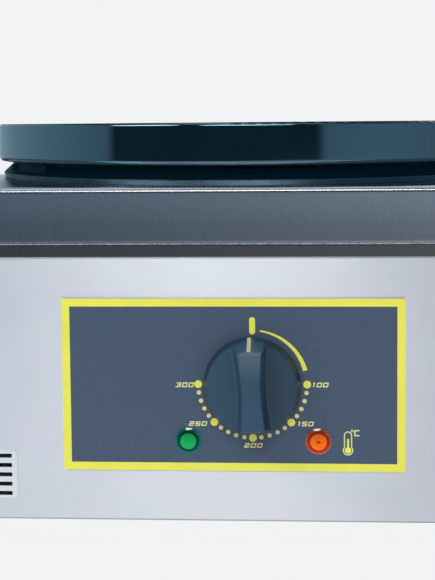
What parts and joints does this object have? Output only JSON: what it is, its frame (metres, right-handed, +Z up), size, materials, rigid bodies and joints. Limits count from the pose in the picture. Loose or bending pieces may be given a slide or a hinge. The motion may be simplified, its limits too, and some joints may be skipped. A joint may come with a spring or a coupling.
{
  "type": "electric crepe maker",
  "caption": "Electric crepe maker: a round cast iron plate on a square steel casing with a thermostat knob and signal lamps.",
  "frame": {"origin": "under the centre of the cooking plate, on the surface the feet stand on", "axes": "+Z up, the control panel faces -Y, +X to the right seen from the front"},
  "size_m": [0.3644, 0.3972, 0.2474],
  "materials": {
    "enamelled_iron": "gloss black enamel on cast iron",
    "black_enamel": "gloss black enamel",
    "cover_steel": "stainless, brushed up and down",
    "casing_steel": "stainless, brushed along",
    "zinc_steel": "zinc plated",
    "panel_print": "matt printed film, slate with a yellow border",
    "knob_plastic": "satin black",
    "pointer_plastic": "pale yellow",
    "spring_steel": "bright spring steel",
    "bright_steel": "turned bright",
    "thermostat_ceramic": "unglazed",
    "brass": "turned",
    "fastener_steel": "zinc plated",
    "screw_steel": "stainless",
    "copper": "drawn copper",
    "green_lens": "clear green, lit from behind",
    "amber_lens": "clear amber, lit from behind",
    "lamp_plastic": "natural nylon",
    "element_steel": "heat darkened",
    "ceramic": "unglazed",
    "ceramic_fibre": "needled blanket",
    "foot_rubber": "matt",
    "gland_plastic": "black nylon",
    "seal_rubber": "matt"
  },
  "bodies": {
    "cooker": {"amber_lamp_body": "lamp_plastic", "amber_lens": "amber_lens", "base_plate": "zinc_steel", "base_screws": "fastener_steel", "block_screws": "fastener_steel", "bulb_clip": "spring_steel", "bulb_clip_screw": "fastener_steel", "capillary_tube": "copper", "clamp_nut": "fastener_steel", "clamp_stud": "fastener_steel", "control_panel": "panel_print", "cover_screws": "screw_steel", "crepe_plate": "enamelled_iron", "earth_nut": "brass", "earth_stud": "brass", "element_beads": "ceramic", "element_clamp": "zinc_steel", "element_pins": "bright_steel", "foot_front_left": "foot_rubber", "foot_front_right": "foot_rubber", "foot_rear_left": "foot_rubber", "foot_rear_right": "foot_rubber", "foot_screws": "fastener_steel", "gland_body": "gland_plastic", "gland_dome": "gland_plastic", "gland_locknut": "gland_plastic", "gland_seal": "seal_rubber", "green_lamp_body": "lamp_plastic", "green_lens": "green_lens", "heating_element": "element_steel", "insulation_disc": "ceramic_fibre", "lower_casing": "casing_steel", "plate_lugs": "black_enamel", "plate_studs": "fastener_steel", "reflector_pan": "zinc_steel", "stud_nuts": "fastener_steel", "stud_spacers": "fastener_steel", "stud_washers": "fastener_steel", "support_ring": "black_enamel", "terminal_block": "ceramic", "thermostat_body": "thermostat_ceramic", "thermostat_bulb": "bright_steel", "thermostat_bush": "brass", "thermostat_screws": "fastener_steel", "top_cover": "cover_steel"},
    "knob": {"knob": "knob_plastic", "knob_pointer": "pointer_plastic", "knob_clip": "spring_steel", "thermostat_shaft": "bright_steel"}
  },
  "joints": [
    {"name": "knob_turn", "type": "hinge", "parent": "cooker", "child": "knob", "pos_m": [0.0064, -0.19, 0.1012], "axis": [0, 1, 0], "range_deg": [0, 273]}
  ]
}
